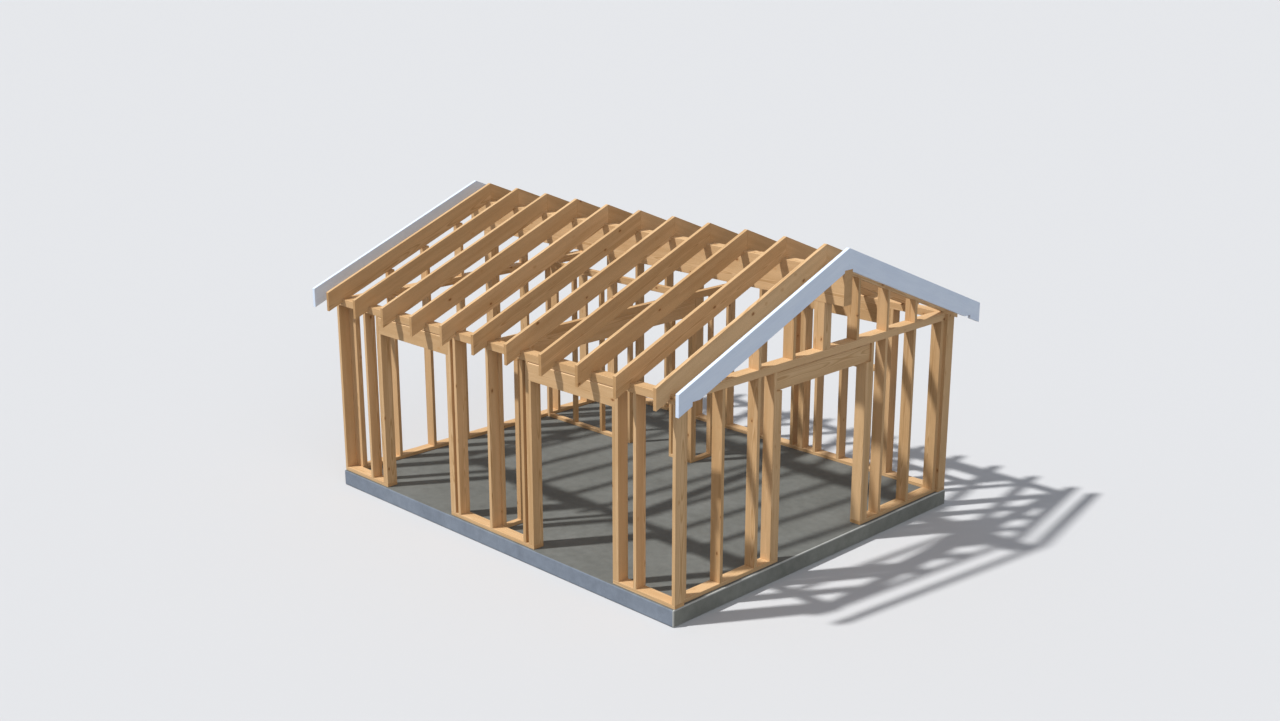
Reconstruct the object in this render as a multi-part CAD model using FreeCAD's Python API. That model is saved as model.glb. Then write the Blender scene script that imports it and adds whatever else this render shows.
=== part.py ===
import FreeCAD
import Part
import math
import os

# Timber frame of a small gabled building on a concrete slab.
# Millimetres, +Z up, origin at the centre of the slab's underside.
# X runs along the long walls, Y across the building; the front wall is at -Y.

# slab
slab_length = 6000.0
slab_width = 5000.0
slab_height = 200.0

# timber sections
stud_thick = 45.0
stud_depth = 145.0
plate_thick = 45.0
top_plate_height = 90.0
partition_depth = 70.0
end_stud_thick = 70.0

# walls: how far the outer faces stand in from the slab edge, and heights above the slab;
# the long walls run past the gable walls, almost to the slab's ends
side_inset = 25.0
wall_end_inset = 5.0
gable_inset = 45.0
head_height = 2240.0
lintel_depth = 220.0
stud_module = 600.0
gable_module = 570.0

# openings
front_pier_half = 762.5
front_opening = 1300.0
gable_opening = 1520.0
window_start = 800.0
window_width = 1300.0
window_height = 600.0
cripple_module = 400.0
lintel_chamfer = 18.0
gable_lintel_recess = 25.0

# partitions
cross_wall_x = 20.0
cross_stub = 315.0
room_wall_y = 900.0
cross_jamb_lap = 55.0
cross_rear_wall = 375.0
room_door_start = -1095.0
room_door_width = 750.0

# roof
roof_pitch = 21.9
rafter_depth = 225.0
rafter_thick = 45.0
birdsmouth_heel = 45.0
rafter_module = 600.0
end_rafter_inset = 112.0
eaves_overhang = 175.0
ridge_beam_width = 140.0
ridge_beam_depth = 400.0
barge_overhang = 220.0
barge_thick = 45.0
ridge_post_width = 135.0

# derived levels and positions
half_length = slab_length / 2.0
half_width = slab_width / 2.0
deck = slab_height
side_outer = half_width - side_inset
side_inner = side_outer - stud_depth
wall_end = half_length - wall_end_inset
gable_outer = half_length - gable_inset
gable_inner = gable_outer - stud_depth
plate_top = deck + plate_thick
stud_top = deck + head_height
wall_top = stud_top + top_plate_height
head_level = stud_top - lintel_depth
sill_level = head_level - window_height
slope = math.tan(math.radians(roof_pitch))
rafter_plumb = rafter_depth / math.cos(math.radians(roof_pitch))
# the rafters' underside runs one heel below the eaves plates' outer top edge
under_ridge = wall_top - birdsmouth_heel + slope * side_outer
ridge_top = under_ridge + rafter_plumb
tail_y = half_width + eaves_overhang
barge_outer = half_length + barge_overhang
barge_inner = barge_outer - barge_thick
beam_half = ridge_beam_width / 2.0

os.makedirs("parts", exist_ok=True)


def box(x0, x1, y0, y1, z0, z1):
    return Part.makeBox(x1 - x0, y1 - y0, z1 - z0, FreeCAD.Vector(x0, y0, z0))


def save(name, solids):
    shape = solids[0] if len(solids) == 1 else Part.makeCompound(solids)
    shape.exportStep("parts/" + name + ".step")


def prism_x(points, x0, x1):
    """Solid with a Y-Z outline, running along X."""
    wire = Part.makePolygon([FreeCAD.Vector(x0, y, z) for y, z in points + points[:1]])
    return Part.Face(wire).extrude(FreeCAD.Vector(x1 - x0, 0, 0))


def prism_y(points, y0, y1):
    """Solid with an X-Z outline, running along Y."""
    wire = Part.makePolygon([FreeCAD.Vector(x, y0, z) for x, z in points + points[:1]])
    return Part.Face(wire).extrude(FreeCAD.Vector(0, y1 - y0, 0))


def under(y):
    """Level of the rafters' underside."""
    return under_ridge - slope * abs(y)


def over(y):
    """Level of the rafters' top."""
    return ridge_top - slope * abs(y)


# wall members: side +1 is the back or right wall, -1 the front or left wall

def span(side, near, far):
    low, high = sorted((side * near, side * far))
    return low, high


def side_member(side, x0, x1, z0, z1):
    y0, y1 = span(side, side_inner, side_outer)
    return box(x0, x1, y0, y1, z0, z1)


def gable_member(side, y0, y1, z0, z1):
    x0, x1 = span(side, gable_inner, gable_outer)
    return box(x0, x1, y0, y1, z0, z1)


def side_stud(side, x, z0=plate_top, z1=stud_top):
    return side_member(side, x - stud_thick / 2.0, x + stud_thick / 2.0, z0, z1)


def gable_stud(side, y, z0=plate_top, z1=stud_top):
    return gable_member(side, y - stud_thick / 2.0, y + stud_thick / 2.0, z0, z1)


def on_module(module, low, high):
    """Centres of the studs on a module, counted from the middle, that stand clear of two faces."""
    first = math.ceil((low + stud_thick / 2.0) / module)
    last = math.floor((high - stud_thick / 2.0) / module)
    return [step * module for step in range(first, last + 1)]


def side_studs(side, openings):
    """Corner studs and module studs of a long wall, between the king studs of its openings."""
    corner = wall_end - stud_thick / 2.0
    places = [-corner, corner]
    low = -wall_end + stud_thick
    for start, end in openings:
        places += on_module(stud_module, low, start - 2.0 * stud_thick)
        low = end + 2.0 * stud_thick
    places += on_module(stud_module, low, wall_end - stud_thick)
    return [side_stud(side, x) for x in places]


def side_lintel(side, x0, x1):
    """Lintel on the trimmers, its upper outer edge planed off."""
    outer = side * side_outer
    inner = side * side_inner
    cut = side * lintel_chamfer
    outline = [
        (inner, head_level),
        (outer, head_level),
        (outer, stud_top - lintel_chamfer),
        (outer - cut, stud_top),
        (inner, stud_top),
    ]
    return prism_x(outline, x0, x1)


# slab
save("concrete_slab", [box(-half_length, half_length, -half_width, half_width, 0.0, deck)])

# front wall, with two door openings mirrored about its middle
door_edges = []
for sign in (-1, 1):
    edges = (sign * front_pier_half, sign * (front_pier_half + front_opening))
    door_edges.append(tuple(sorted(edges)))
left_door, right_door = door_edges
save("front_bottom_plates", [
    side_member(-1, -wall_end, left_door[0], deck, plate_top),
    side_member(-1, left_door[1], right_door[0], deck, plate_top),
    side_member(-1, right_door[1], wall_end, deck, plate_top),
])
save("front_top_plate", [side_member(-1, -wall_end, wall_end, stud_top, wall_top)])
save("front_studs", side_studs(-1, door_edges))
front_kings = []
front_trimmers = []
for low, high in door_edges:
    for edge, out in ((low, -1), (high, 1)):
        front_trimmers.append(side_stud(-1, edge + out * stud_thick / 2.0, plate_top, head_level))
        front_kings.append(side_stud(-1, edge + out * stud_thick * 1.5))
save("front_king_studs", front_kings)
save("front_trimmer_studs", front_trimmers)
save("front_lintels", [
    side_lintel(-1, low - stud_thick, high + stud_thick) for low, high in door_edges
])

# back wall, with one high window
window_end = window_start + window_width
save("back_bottom_plate", [side_member(1, -wall_end, wall_end, deck, plate_top)])
save("back_top_plate", [side_member(1, -wall_end, wall_end, stud_top, wall_top)])
save("back_studs", side_studs(1, [(window_start, window_end)]))
back_kings = []
back_trimmers = []
for edge, out in ((window_start, -1), (window_end, 1)):
    back_trimmers.append(side_stud(1, edge + out * stud_thick / 2.0, plate_top, head_level))
    back_kings.append(side_stud(1, edge + out * stud_thick * 1.5))
save("back_king_studs", back_kings)
save("back_trimmer_studs", back_trimmers)
save("back_lintel", [side_lintel(1, window_start - stud_thick, window_end + stud_thick)])
save("back_sill", [side_member(1, window_start, window_end, sill_level - plate_thick, sill_level)])
cripples = int(window_width // cripple_module)
save("back_cripple_studs", [
    side_stud(1, window_start + cripple_module * (k + 0.5), plate_top, sill_level - plate_thick)
    for k in range(cripples)
])

# gable walls
door_half = gable_opening / 2.0
end_stud_face = side_inner - end_stud_thick
save("right_bottom_plates", [
    gable_member(1, -side_inner, -door_half, deck, plate_top),
    gable_member(1, door_half, side_inner, deck, plate_top),
])
save("left_bottom_plate", [gable_member(-1, -side_inner, side_inner, deck, plate_top)])
for side, name in ((1, "right"), (-1, "left")):
    top = gable_member(side, -side_inner, side_inner, stud_top, wall_top)
    save(name + "_top_plate", [top])
post_half = ridge_post_width / 2.0
past_post = on_module(gable_module, post_half, end_stud_face)
past_door = on_module(gable_module, door_half + 3.0 * stud_thick, end_stud_face)
for side, name, places in ((1, "right", past_door), (-1, "left", past_post)):
    save(name + "_end_studs", [
        gable_member(side, *span(sign, end_stud_face, side_inner), plate_top, stud_top)
        for sign in (-1, 1)
    ])
    save(name + "_studs", [gable_stud(side, sign * y) for sign in (-1, 1) for y in places])
for row, label in ((1, "inner"), (2, "outer")):
    centre = door_half + stud_thick * (row - 0.5)
    save("right_trimmer_studs_" + label, [
        gable_stud(1, sign * centre, plate_top, head_level) for sign in (-1, 1)
    ])
save("right_king_studs", [
    gable_stud(1, sign * (door_half + stud_thick * 2.5)) for sign in (-1, 1)
])
lintel_face = gable_outer - gable_lintel_recess
save("right_lintel", [prism_y([
    (gable_inner, head_level),
    (lintel_face, head_level),
    (lintel_face, stud_top - lintel_chamfer),
    (lintel_face - lintel_chamfer, stud_top),
    (gable_inner, stud_top),
], -door_half - 2.0 * stud_thick, door_half + 2.0 * stud_thick)])
save("left_centre_post", [gable_member(-1, -post_half, post_half, plate_top, stud_top)])

# gable studs cut to the rafters' slope, and a post under the ridge beam at each end
beam_bottom = under_ridge - ridge_beam_depth
for side, name in ((1, "right"), (-1, "left")):
    x0, x1 = span(side, gable_inner, gable_outer)
    studs = []
    for sign in (-1, 1):
        for y in past_post:
            low = sign * y - stud_thick / 2.0
            high = low + stud_thick
            studs.append(prism_x(
                [(low, wall_top), (high, wall_top), (high, under(high)), (low, under(low))],
                x0, x1))
    save(name + "_gable_studs", studs)
    save(name + "_ridge_post", [gable_member(side, -post_half, post_half, wall_top, beam_bottom)])

# ridge beam, the rafters' undersides meeting on its top at the middle
save("ridge_beam", [box(-barge_outer, barge_outer, -beam_half, beam_half, beam_bottom, under_ridge)])


def rafter_outline(side):
    """Y-Z outline of a rafter: tail, birdsmouth on the plate, notch on the ridge beam, ridge."""
    seat_y = (under_ridge - wall_top) / slope
    points = [(tail_y, over(tail_y)), (tail_y, under(tail_y))]
    points += [(side_outer, under(side_outer)), (side_outer, wall_top), (seat_y, wall_top)]
    points += [(beam_half, under(beam_half)), (beam_half, under_ridge)]
    points += [(0.0, under_ridge), (0.0, ridge_top)]
    return [(side * y, z) for y, z in points]


# rafters at equal spacing, no wider than the rafter module, and barge boards cut as they are
rafter_run = slab_length - 2.0 * end_rafter_inset
rafter_gaps = math.ceil(rafter_run / rafter_module)
rafter_x = [
    -rafter_run / 2.0 + rafter_run * k / rafter_gaps for k in range(rafter_gaps + 1)
]
for side, name in ((-1, "front"), (1, "back")):
    outline = rafter_outline(side)
    save("rafters_" + name, [
        prism_x(outline, x - rafter_thick / 2.0, x + rafter_thick / 2.0) for x in rafter_x
    ])
    save("barge_board_right_" + name, [prism_x(outline, barge_inner, barge_outer)])
    save("barge_board_left_" + name, [prism_x(outline, -barge_outer, -barge_inner)])

# cross partition between the long walls, with a beam over its wide opening
cross_x0 = cross_wall_x - partition_depth / 2.0
cross_x1 = cross_wall_x + partition_depth / 2.0
stub_end = -side_inner + cross_stub
cross_beam_end = room_wall_y + cross_jamb_lap
cross_wall_end = cross_beam_end + cross_rear_wall


def cross_member(y0, y1, z0, z1):
    return box(cross_x0, cross_x1, y0, y1, z0, z1)


save("cross_wall_bottom_plates", [
    cross_member(-side_inner, stub_end, deck, plate_top),
    cross_member(cross_beam_end - stud_thick, cross_wall_end, deck, plate_top),
])
save("cross_wall_top_plate", [cross_member(-side_inner, side_inner, stud_top, wall_top)])
save("cross_wall_trimmer_studs", [
    cross_member(stub_end - stud_thick, stub_end, plate_top, head_level),
    cross_member(cross_beam_end - stud_thick, cross_beam_end, plate_top, head_level),
])
cross_starts = (-side_inner, cross_beam_end, cross_wall_end - stud_thick)
save("cross_wall_studs", [
    cross_member(y, y + stud_thick, plate_top, stud_top) for y in cross_starts
])
save("cross_wall_beam", [cross_member(stub_end - stud_thick, cross_beam_end, head_level, stud_top)])

# room partition from the left gable wall to the cross partition
room_y0 = room_wall_y
room_y1 = room_wall_y + partition_depth
room_x0 = -gable_inner
room_door_end = room_door_start + room_door_width


def room_member(x0, x1, z0, z1):
    return box(x0, x1, room_y0, room_y1, z0, z1)


save("room_wall_bottom_plates", [
    room_member(room_x0, room_door_start, deck, plate_top),
    room_member(room_door_end, cross_x0, deck, plate_top),
])
save("room_wall_top_plate", [room_member(room_x0, cross_x0, stud_top, wall_top)])
room_gap = (room_door_start - stud_thick - room_x0) / 3.0
room_starts = [room_x0 + k * room_gap for k in range(4)]
room_starts.append(room_door_end)
save("room_wall_studs", [
    room_member(x, x + stud_thick, plate_top, stud_top) for x in room_starts
])
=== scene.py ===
"""Looks for the timber frame of a small gabled building on a concrete slab.

Metres, +Z up. X runs along the long walls, and the front wall, with two doors, is at -Y.
Every member keeps its own shape from the frame. Modifiers ease its edges and give it grain
coordinates along its length. The timber's growth rings, knots and end grain and the paint's
brush strokes are drawn from those, and the concrete's marks from its place.
"""

import math

import bpy
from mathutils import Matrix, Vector


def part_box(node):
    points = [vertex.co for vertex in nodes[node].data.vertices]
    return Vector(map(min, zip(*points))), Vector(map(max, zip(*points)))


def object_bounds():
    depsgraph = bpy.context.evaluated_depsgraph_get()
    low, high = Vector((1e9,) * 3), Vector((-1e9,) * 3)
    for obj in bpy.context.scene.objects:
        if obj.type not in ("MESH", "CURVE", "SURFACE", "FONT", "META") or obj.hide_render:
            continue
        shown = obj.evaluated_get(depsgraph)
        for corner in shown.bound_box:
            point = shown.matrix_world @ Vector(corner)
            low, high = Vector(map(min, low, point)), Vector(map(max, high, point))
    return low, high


ROOF_PITCH = math.radians(21.9)

# how the CAD meshes' edges are eased
WELD_GAP = 0.0001
FLAT_ANGLE = math.radians(1.0)
SHARP_ANGLE = math.radians(15.0)
TIMBER_EDGE = 0.0025
SLAB_EDGE = 0.014

# the log of each timber: how far its pith may lie off centre, how far along the log it was cut,
# and the random draws that choose both and its tone
PITH_REACH = 0.09
LOG_SHIFT = 40.0
LOG_SEED = 0
TONE_SEED = 7
SEED_STEP = 13

# how fine the patterns are, as texture scales in metres
RING_RATE = 48.0
FIBRE_RATE = 420.0
KNOT_RATE = 5.2
SAW_RATE = 260.0
BRUSH_RATE = 260.0
SAND_RATE = 420.0
PORE_RATE = 34.0

# light, stage and camera
SKY = (0.275, 0.298, 0.345, 1.0)
BACKDROP = 0.80
FLOOR_SEEN = 0.60
FLOOR_LIT = 0.32
FLOOR_REACH = 500.0
FLOOR_DROP = 0.001
SUN_POWER = 3.6
SUN_ANGLE = math.radians(2.5)
SUN_FROM = Vector((-0.312, -0.484, 0.818))
FILL_POWER = 0.5
FILL_ANGLE = math.radians(50.0)
FILL_FROM = Vector((0.68, -0.34, 0.65))
CAMERA_PLACE = (12.8269, -12.8209, 7.0236)
CAMERA_TURN = (math.radians(73.93), 0.0, math.radians(45.0))
LENS = 41.97
SENSOR = 36.0
FAR_CLIP = 1000.0

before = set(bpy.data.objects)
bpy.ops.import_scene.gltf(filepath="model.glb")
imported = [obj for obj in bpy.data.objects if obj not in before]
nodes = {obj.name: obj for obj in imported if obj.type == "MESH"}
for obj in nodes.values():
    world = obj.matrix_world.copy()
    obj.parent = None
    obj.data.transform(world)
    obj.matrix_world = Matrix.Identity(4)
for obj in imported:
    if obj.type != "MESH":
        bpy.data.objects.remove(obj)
cad_low, cad_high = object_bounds()


# ---------------------------------------------------------------- node helpers

def add(tree, kind, inputs=None, **settings):
    """A new node with its settings, and its inputs set or linked."""
    made = tree.nodes.new(kind)
    for key, value in settings.items():
        setattr(made, key, value)
    for key, value in (inputs or {}).items():
        if isinstance(value, bpy.types.NodeSocket):
            tree.links.new(value, made.inputs[key])
        else:
            made.inputs[key].default_value = value
    return made


def maths(tree, operation, a, b=0.0):
    return add(tree, "ShaderNodeMath", {0: a, 1: b}, operation=operation).outputs[0]


def vectors(tree, operation, a, b=(0.0, 0.0, 0.0)):
    made = add(tree, "ShaderNodeVectorMath", {0: a, 1: b}, operation=operation)
    return made.outputs["Value" if operation == "DOT_PRODUCT" else "Vector"]


def noise(tree, vector, scale, detail=2.0, roughness=0.5):
    inputs = {"Vector": vector, "Scale": scale, "Detail": detail, "Roughness": roughness}
    return add(tree, "ShaderNodeTexNoise", inputs)


def mix(tree, factor, a, b, blend="MIX"):
    made = add(tree, "ShaderNodeMix", {0: factor, 6: a, 7: b}, data_type="RGBA", blend_type=blend)
    return made.outputs[2]


def ramp(tree, factor, stops, interpolation="LINEAR"):
    """A colour ramp's colour. Stops are (position, colour), and a plain number is a grey."""
    made = add(tree, "ShaderNodeValToRGB", {0: factor})
    made.color_ramp.interpolation = interpolation
    while len(made.color_ramp.elements) < len(stops):
        made.color_ramp.elements.new(0.5)
    for element, (position, colour) in zip(made.color_ramp.elements, stops):
        element.position = position
        grey = isinstance(colour, float)
        element.color = (colour, colour, colour, 1.0) if grey else (*colour, 1.0)
    return made.outputs[0]


def spread(tree, factor, low, high):
    """A 0 to 1 value stretched to run from low to high."""
    made = add(tree, "ShaderNodeMapRange", {0: factor, 3: low, 4: high})
    return made.outputs[0]


def attribute(tree, name):
    return add(tree, "ShaderNodeAttribute", attribute_name=name)


def new_material(name):
    """A node material, its node tree and its shader."""
    material = bpy.data.materials.new(name)
    material.use_nodes = True
    tree = material.node_tree
    tree.nodes.clear()
    shader = add(tree, "ShaderNodeBsdfPrincipled")
    output = add(tree, "ShaderNodeOutputMaterial")
    tree.links.new(shader.outputs[0], output.inputs[0])
    return material, tree, shader


def bump(tree, height, strength, distance, under=None):
    """A normal with relief drawn on it, over another relief if one is given."""
    inputs = {"Height": height, "Strength": strength, "Distance": distance}
    if under is not None:
        inputs["Normal"] = under
    return add(tree, "ShaderNodeBump", inputs).outputs[0]


# ---------------------------------------------------------------- grain coordinates

def grain_group():
    """Stores on each member its grain coordinates, with Z along the wood's length and the
    pith of its log near the Z axis, its tone, and the direction of its length."""
    tree = bpy.data.node_groups.new("member_grain", "GeometryNodeTree")
    sockets = tree.interface
    sockets.new_socket("Geometry", in_out="INPUT", socket_type="NodeSocketGeometry")
    sockets.new_socket("Turn", in_out="INPUT", socket_type="NodeSocketVector")
    sockets.new_socket("Seed", in_out="INPUT", socket_type="NodeSocketInt")
    sockets.new_socket("Geometry", in_out="OUTPUT", socket_type="NodeSocketGeometry")
    given = add(tree, "NodeGroupInput")
    place = add(tree, "GeometryNodeInputPosition").outputs[0]
    island = add(tree, "GeometryNodeInputMeshIsland").outputs["Island Index"]

    def total(value, kind):
        made = add(tree, "GeometryNodeAccumulateField", data_type=kind)
        if isinstance(value, bpy.types.NodeSocket):
            tree.links.new(value, made.inputs[0])
        else:
            made.inputs[0].default_value = value
        tree.links.new(island, made.inputs["Group ID"])
        return made.outputs["Total"]

    centre = vectors(tree, "DIVIDE", total(place, "FLOAT_VECTOR"), total(1.0, "FLOAT"))
    apart = vectors(tree, "SUBTRACT", place, centre)

    def turned(vector, back):
        made = add(tree, "ShaderNodeVectorRotate", rotation_type="EULER_XYZ", invert=back)
        if isinstance(vector, bpy.types.NodeSocket):
            tree.links.new(vector, made.inputs["Vector"])
        else:
            made.inputs["Vector"].default_value = vector
        tree.links.new(given.outputs["Turn"], made.inputs["Rotation"])
        return made.outputs[0]

    def random(kind, low, high, offset):
        made = add(tree, "FunctionNodeRandomValue", data_type=kind)
        seed = maths(tree, "ADD", given.outputs["Seed"], offset)
        tree.links.new(island, made.inputs["ID"])
        tree.links.new(seed, made.inputs["Seed"])
        low_socket, high_socket, result = {"FLOAT_VECTOR": (0, 1, 0), "FLOAT": (2, 3, 1)}[kind]
        made.inputs[low_socket].default_value = low
        made.inputs[high_socket].default_value = high
        return made.outputs[result]

    nearest = (-PITH_REACH, -PITH_REACH, 0.0)
    farthest = (PITH_REACH, PITH_REACH, LOG_SHIFT)
    log = random("FLOAT_VECTOR", nearest, farthest, LOG_SEED)
    stored = (
        ("grain", "FLOAT_VECTOR", vectors(tree, "ADD", turned(apart, False), log)),
        ("tone", "FLOAT", random("FLOAT", 0.0, 1.0, TONE_SEED)),
        ("length_axis", "FLOAT_VECTOR", turned((0.0, 0.0, 1.0), True)),
    )
    geometry = given.outputs["Geometry"]
    for name, kind, value in stored:
        inputs = {"Geometry": geometry, "Name": name, "Value": value}
        geometry = add(tree, "GeometryNodeStoreNamedAttribute", inputs, data_type=kind).outputs[0]
    add(tree, "NodeGroupOutput", {0: geometry})
    return tree


def ease_edges(piece, width):
    """Joins a CAD node's faces, clears its flat triangles and rounds its arrises."""
    weld = piece.modifiers.new("weld", "WELD")
    weld.merge_threshold = WELD_GAP
    flatten = piece.modifiers.new("flatten", "DECIMATE")
    flatten.decimate_type = "DISSOLVE"
    flatten.angle_limit = FLAT_ANGLE
    bevel = piece.modifiers.new("ease", "BEVEL")
    bevel.width = width
    bevel.segments = 2
    bevel.limit_method = "ANGLE"
    bevel.angle_limit = SHARP_ANGLE


def give_grain(piece, group, turn, seed):
    """Adds the grain group to a piece, with the group's inputs set."""
    modifier = piece.modifiers.new("grain", "NODES")
    modifier.node_group = group
    inputs = [item for item in group.interface.items_tree if item.in_out == "INPUT"]
    keys = {item.name: item.identifier for item in inputs}
    modifier[keys["Turn"]] = turn
    modifier[keys["Seed"]] = seed


def turn_of(name):
    """The turn that brings a member's length onto Z."""
    quarter = math.pi / 2.0
    if name.startswith(("rafters", "barge_board")):
        lean = quarter - ROOF_PITCH
        return (lean if name.endswith("front") else -lean, 0.0, 0.0)
    low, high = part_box(name)
    if "stud" in name or "post" in name:
        return (0.0, 0.0, 0.0)
    if high.x - low.x > high.y - low.y:
        return (0.0, -quarter, 0.0)
    return (quarter, 0.0, 0.0)


# ---------------------------------------------------------------- wood

def wavering(tree, grain):
    """Grain coordinates whose pith wanders along the length, which draws long arches."""
    slow = vectors(tree, "MULTIPLY", grain, (1.5, 1.5, 0.7))
    drift = noise(tree, slow, 1.0, 1.0).outputs["Color"]
    centred = vectors(tree, "SUBTRACT", drift, (0.5, 0.5, 0.5))
    sideways = vectors(tree, "MULTIPLY", centred, (0.08, 0.08, 0.0))
    return vectors(tree, "ADD", grain, sideways)


def growth_rings(tree, grain):
    """A saw-tooth value for each year's ring, pale in spring and dark in late summer."""
    squeezed = vectors(tree, "MULTIPLY", grain, (1.0, 1.0, 0.04))
    inputs = {"Vector": squeezed, "Scale": RING_RATE}
    inputs.update({"Distortion": 1.6, "Detail": 2.0, "Detail Scale": 0.8})
    shape = {"wave_type": "RINGS", "rings_direction": "Z", "wave_profile": "SAW"}
    return add(tree, "ShaderNodeTexWave", inputs, **shape).outputs["Fac"]


def fibres(tree, grain):
    """Fine noise drawn out along the wood's length."""
    fine = vectors(tree, "MULTIPLY", grain, (FIBRE_RATE, FIBRE_RATE, 9.0))
    return noise(tree, fine, 1.0, 3.0, 0.6).outputs["Fac"]


def knot_distance(tree, grain):
    """Distance from the nearest branch, in cells, with knots a little longer than wide."""
    cells = vectors(tree, "MULTIPLY", grain, (1.0, 1.0, 0.62))
    waver = noise(tree, grain, 26.0, 2.0).outputs["Color"]
    centred = vectors(tree, "SUBTRACT", waver, (0.5, 0.5, 0.5))
    wobble = vectors(tree, "MULTIPLY", centred, (0.012, 0.012, 0.012))
    inputs = {"Vector": vectors(tree, "ADD", cells, wobble), "Scale": KNOT_RATE, "Randomness": 1.0}
    return add(tree, "ShaderNodeTexVoronoi", inputs, feature="F1").outputs["Distance"]


def end_share(tree):
    """1 on a member's cut ends and 0 on its long faces."""
    normal = add(tree, "ShaderNodeNewGeometry").outputs["Normal"]
    facing = vectors(tree, "DOT_PRODUCT", normal, attribute(tree, "length_axis").outputs["Vector"])
    return ramp(tree, maths(tree, "ABSOLUTE", facing), ((0.75, 0.0), (0.88, 1.0)))


def painted_highlight_share(tree):
    """1 on faces that lean halfway to level, the lintels' chamfered edge and eased arrises, where
    a painted highlight goes.
    """
    normal = add(tree, "ShaderNodeNewGeometry").outputs["Normal"]
    rise = vectors(tree, "DOT_PRODUCT", normal, (0.0, 0.0, 1.0))
    return ramp(tree, rise, ((0.60, 0.0), (0.66, 1.0), (0.76, 1.0), (0.82, 0.0)))


def timber_material():
    """Pale softwood: rings, fibres, knots with halos, saw marks, darker cut ends, and a painted
    highlight on faces that lean halfway to level.
    """
    material, tree, shader = new_material("timber")
    grain = wavering(tree, attribute(tree, "grain").outputs["Vector"])
    tone = attribute(tree, "tone").outputs["Fac"]
    rings = growth_rings(tree, grain)
    fibre = fibres(tree, grain)
    knots = knot_distance(tree, grain)
    ends = end_share(tree)

    wood = ramp(tree, rings, (
        (0.0, (0.692, 0.462, 0.250)),
        (0.55, (0.658, 0.428, 0.218)),
        (0.86, (0.512, 0.302, 0.132)),
        (1.0, (0.660, 0.432, 0.224)),
    ))
    long_patches = vectors(tree, "MULTIPLY", grain, (14.0, 14.0, 0.9))
    broad = noise(tree, long_patches, 1.0, 3.0).outputs["Fac"]
    patches = ramp(tree, broad, (
        (0.3, (0.90, 0.86, 0.80)),
        (0.55, (1.0, 1.0, 1.0)),
        (0.75, (1.07, 1.06, 1.05)),
    ))
    wood = mix(tree, 1.0, wood, patches, "MULTIPLY")
    streaks = ramp(tree, fibre, ((0.3, 0.88), (0.6, 1.02)))
    wood = mix(tree, 0.8, wood, streaks, "MULTIPLY")
    members = ramp(tree, tone, (
        (0.0, (0.90, 0.87, 0.82)),
        (0.5, (1.0, 1.0, 1.0)),
        (1.0, (1.07, 1.08, 1.10)),
    ))
    wood = mix(tree, 1.0, wood, members, "MULTIPLY")

    halo = ramp(tree, knots, ((0.06, 0.62), (0.16, 0.0)), "EASE")
    wood = mix(tree, halo, wood, (0.50, 0.26, 0.095, 1.0))
    heart = ramp(tree, knots, (
        (0.0, (0.23, 0.105, 0.040)),
        (0.045, (0.33, 0.155, 0.055)),
        (0.062, (0.16, 0.07, 0.028)),
    ))
    within = ramp(tree, knots, ((0.058, 1.0), (0.07, 0.0)))
    wood = mix(tree, within, wood, heart)
    cut = mix(tree, 1.0, wood, (0.84, 0.78, 0.70, 1.0), "MULTIPLY")
    wood = mix(tree, ends, wood, cut)
    # painted highlight: faces that lean halfway to level, such as the lintels' chamfers, are
    # lightened as if they caught the sun
    painted_highlight = mix(tree, 1.0, wood, (1.22, 1.30, 1.45, 1.0), "MULTIPLY")
    wood = mix(tree, painted_highlight_share(tree), wood, painted_highlight)
    tree.links.new(wood, shader.inputs["Base Color"])

    tree.links.new(spread(tree, fibre, 0.58, 0.82), shader.inputs["Roughness"])
    shader.inputs["Specular IOR Level"].default_value = 0.3
    sawn = vectors(tree, "MULTIPLY", grain, (6.0, 6.0, SAW_RATE))
    saw_marks = noise(tree, sawn, 1.0, 1.0).outputs["Fac"]
    relief = bump(tree, rings, 0.25, 0.0006)
    relief = bump(tree, fibre, 0.35, 0.0008, relief)
    relief = bump(tree, saw_marks, 0.18, 0.0007, relief)
    relief = bump(tree, within, 0.3, 0.001, relief)
    tree.links.new(relief, shader.inputs["Normal"])
    return material


# ---------------------------------------------------------------- painted barge boards

def paint_material():
    """Near-white paint whose blue tint is painted cool skylight, brushed along the board, with
    faint rings below it.
    """
    material, tree, shader = new_material("barge_paint")
    grain = wavering(tree, attribute(tree, "grain").outputs["Vector"])
    brush = vectors(tree, "MULTIPLY", grain, (BRUSH_RATE, BRUSH_RATE, 2.4))
    strokes = noise(tree, brush, 1.0, 3.0, 0.6).outputs["Fac"]
    rings = growth_rings(tree, grain)
    large = vectors(tree, "MULTIPLY", grain, (7.0, 7.0, 2.0))
    weather = noise(tree, large, 1.0, 4.0, 0.6).outputs["Fac"]
    # painted light: the white paint is tinted blue to stand for cool skylight on it
    paint = ramp(tree, weather, (
        (0.25, (0.680, 0.775, 0.925)),
        (0.50, (0.735, 0.830, 0.965)),
        (0.75, (0.775, 0.865, 0.985)),
    ))
    brushed = ramp(tree, strokes, ((0.3, 0.93), (0.65, 1.02)))
    paint = mix(tree, 0.8, paint, brushed, "MULTIPLY")
    below = ramp(tree, rings, ((0.7, 1.0), (0.9, 0.955), (1.0, 1.0)))
    paint = mix(tree, 1.0, paint, below, "MULTIPLY")
    tree.links.new(paint, shader.inputs["Base Color"])
    tree.links.new(spread(tree, strokes, 0.34, 0.52), shader.inputs["Roughness"])
    relief = bump(tree, rings, 0.18, 0.0006)
    relief = bump(tree, strokes, 0.22, 0.0005, relief)
    tree.links.new(relief, shader.inputs["Normal"])
    return material


# ---------------------------------------------------------------- concrete

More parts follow.
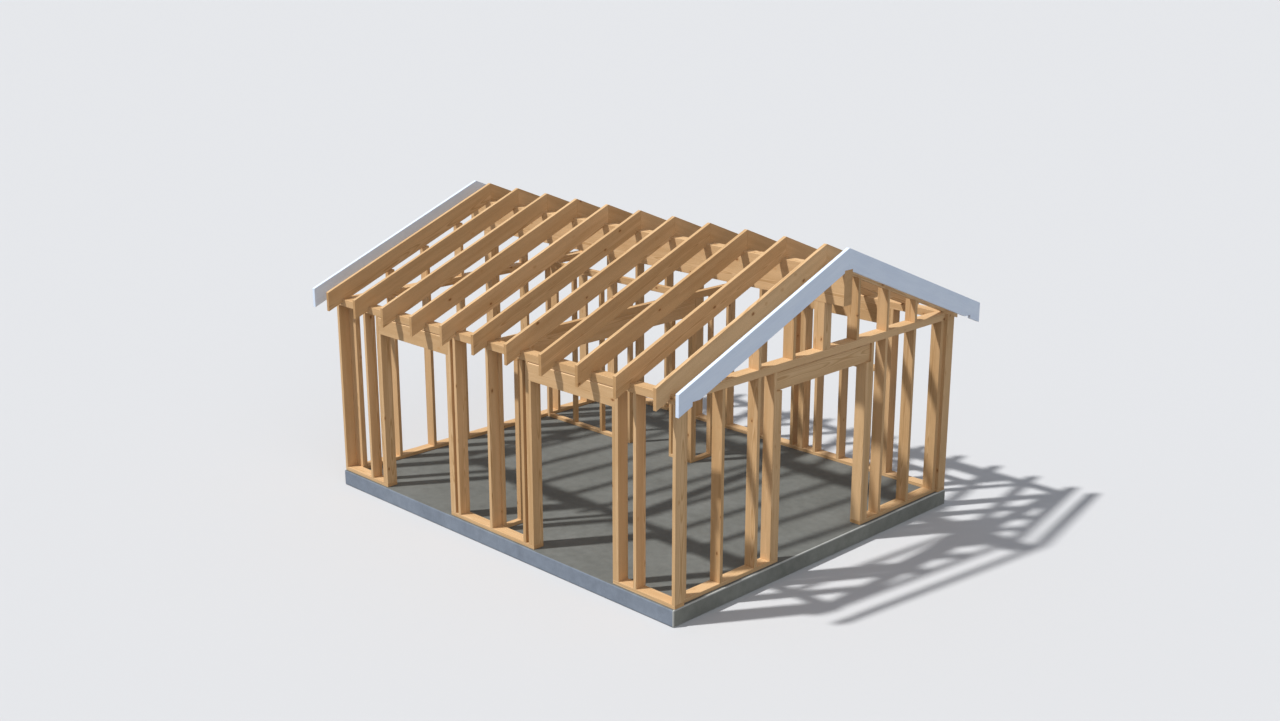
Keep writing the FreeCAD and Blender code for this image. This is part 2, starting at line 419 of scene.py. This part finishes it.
def concrete_material():
    """Cast concrete whose face colours hold painted light: a dark grey top that is painted shade,
    gable ends lifted by painted light, cooler blue-grey long sides that are painted skylight, and
    pale arrises at the gable ends that are painted highlights."""
    material, tree, shader = new_material("concrete")
    place = add(tree, "ShaderNodeTexCoord").outputs["Object"]
    normal = add(tree, "ShaderNodeNewGeometry").outputs["Normal"]
    facing = maths(tree, "ABSOLUTE", vectors(tree, "DOT_PRODUCT", normal, (0.0, 1.0, 0.0)))
    long_side = ramp(tree, facing, ((0.5, 0.0), (0.8, 1.0)))

    clouds = noise(tree, place, 1.3, 5.0, 0.6).outputs["Fac"]
    blotches = noise(tree, place, 9.0, 4.0, 0.65).outputs["Fac"]
    sand = noise(tree, place, SAND_RATE, 2.0, 0.7).outputs["Fac"]
    # painted shade: every face but the long sides starts from a dark grey, as if it lay in shadow
    painted_shade_grey = ramp(tree, clouds, (
        (0.3, (0.120, 0.122, 0.110)),
        (0.5, (0.138, 0.141, 0.128)),
        (0.7, (0.158, 0.161, 0.148)),
    ))
    # painted light: the long sides get a paler, cooler blue-grey that stands for light and
    # skylight falling on them
    painted_skylight_grey = ramp(tree, clouds, (
        (0.3, (0.190, 0.220, 0.268)),
        (0.5, (0.212, 0.245, 0.295)),
        (0.7, (0.236, 0.270, 0.320)),
    ))
    stone = mix(tree, long_side, painted_shade_grey, painted_skylight_grey)
    # painted light: the gable ends are lifted 1.75 times to make up for the shade they stand in
    across = maths(tree, "ABSOLUTE", vectors(tree, "DOT_PRODUCT", normal, (1.0, 0.0, 0.0)))
    gable_side = ramp(tree, across, ((0.90, 0.0), (0.98, 1.0)))
    painted_light_gable = mix(tree, 1.0, stone, (1.75, 1.74, 1.68, 1.0), "MULTIPLY")
    stone = mix(tree, gable_side, stone, painted_light_gable)
    # painted highlight: the slanted faces of the eased edges towards the gable ends get a pale
    # grey, as if sunlit
    arris = ramp(tree, across, ((0.10, 0.0), (0.30, 1.0), (0.92, 1.0), (0.98, 0.0)))
    stone = mix(tree, arris, stone, (0.50, 0.50, 0.46, 1.0))
    stained = ramp(tree, blotches, ((0.3, 0.86), (0.5, 1.0), (0.7, 1.12)))
    stone = mix(tree, 0.9, stone, stained, "MULTIPLY")
    sandy = ramp(tree, sand, ((0.3, 0.82), (0.5, 1.0), (0.7, 1.16)))
    stone = mix(tree, 0.9, stone, sandy, "MULTIPLY")

    cells = add(tree, "ShaderNodeTexVoronoi", {"Vector": place, "Scale": PORE_RATE}, feature="F1")
    pores = ramp(tree, cells.outputs["Distance"], ((0.05, 1.0), (0.10, 0.0)))
    stone = mix(tree, maths(tree, "MULTIPLY", pores, 0.6), stone, (0.05, 0.05, 0.047, 1.0))
    tree.links.new(stone, shader.inputs["Base Color"])
    tree.links.new(spread(tree, blotches, 0.72, 0.95), shader.inputs["Roughness"])
    shader.inputs["Specular IOR Level"].default_value = 0.3
    relief = bump(tree, blotches, 0.3, 0.003)
    relief = bump(tree, sand, 0.35, 0.001, relief)
    relief = bump(tree, maths(tree, "SUBTRACT", 1.0, pores), 0.5, 0.002, relief)
    tree.links.new(relief, shader.inputs["Normal"])
    return material


# ---------------------------------------------------------------- dressing the frame

def dress(piece, material):
    """Puts a material in all of a piece's slots."""
    for slot in piece.material_slots:
        slot.material = material


timber = timber_material()
paint = paint_material()
concrete = concrete_material()
grain = grain_group()
for seed, name in enumerate(sorted(nodes)):
    piece = nodes[name]
    if name == "concrete_slab":
        ease_edges(piece, SLAB_EDGE)
        dress(piece, concrete)
        continue
    ease_edges(piece, TIMBER_EDGE)
    give_grain(piece, grain, turn_of(name), seed * SEED_STEP)
    dress(piece, paint if name.startswith("barge_board") else timber)


# ---------------------------------------------------------------- stage, light and camera

def seen_ray(tree):
    """1 for what the eye sees of the stage, straight or in a gloss, and 0 for its light."""
    path = add(tree, "ShaderNodeLightPath").outputs
    straight = maths(tree, "MAXIMUM", path["Is Camera Ray"], path["Is Transmission Ray"])
    return maths(tree, "MAXIMUM", straight, path["Is Glossy Ray"])


def build_floor():
    """A plain pale floor. It lights the object as a darker one would."""
    mesh = bpy.data.meshes.new("studio_floor")
    signs = ((-1, -1), (1, -1), (1, 1), (-1, 1))
    corners = [(x * FLOOR_REACH, y * FLOOR_REACH, 0.0) for x, y in signs]
    mesh.from_pydata(corners, [], [(0, 1, 2, 3)])
    floor = bpy.data.objects.new("studio_floor", mesh)
    bpy.context.scene.collection.objects.link(floor)
    floor.location.z = cad_low.z - FLOOR_DROP
    material, tree, shader = new_material("studio_floor")
    lit = (FLOOR_LIT, FLOOR_LIT, FLOOR_LIT, 1.0)
    seen = (FLOOR_SEEN, FLOOR_SEEN, FLOOR_SEEN, 1.0)
    tree.links.new(mix(tree, seen_ray(tree), lit, seen), shader.inputs["Base Color"])
    shader.inputs["Roughness"].default_value = 0.95
    shader.inputs["Specular IOR Level"].default_value = 0.0
    mesh.materials.append(material)


def build_world():
    """A plain pale backdrop, which lights the object as a cooler and weaker sky."""
    world = bpy.data.worlds.new("studio")
    bpy.context.scene.world = world
    world.use_nodes = True
    tree = world.node_tree
    tree.nodes.clear()
    backdrop = (BACKDROP, BACKDROP, BACKDROP, 1.0)
    colour = mix(tree, seen_ray(tree), SKY, backdrop)
    shade = add(tree, "ShaderNodeBackground", {"Color": colour})
    add(tree, "ShaderNodeOutputWorld", {0: shade.outputs[0]})


def build_lamp(name, power, angle, towards):
    """A far lamp of an angular size, which stands in the given direction."""
    lamp = bpy.data.lights.new(name, "SUN")
    lamp.energy = power
    lamp.angle = angle
    holder = bpy.data.objects.new(name, lamp)
    holder.rotation_euler = towards.to_track_quat("Z", "Y").to_euler()
    bpy.context.scene.collection.objects.link(holder)


def build_camera():
    """The camera, at the height and angle from which the frame's front corner shows."""
    lens = bpy.data.cameras.new("camera")
    lens.sensor_width = SENSOR
    lens.lens = LENS
    lens.clip_end = FAR_CLIP
    camera = bpy.data.objects.new("camera", lens)
    camera.location = CAMERA_PLACE
    camera.rotation_euler = CAMERA_TURN
    bpy.context.scene.collection.objects.link(camera)
    bpy.context.scene.camera = camera


build_floor()
build_world()
build_lamp("sun", SUN_POWER, SUN_ANGLE, SUN_FROM)
build_lamp("fill", FILL_POWER, FILL_ANGLE, FILL_FROM)
build_camera()
bpy.context.scene.view_settings.view_transform = "Standard"
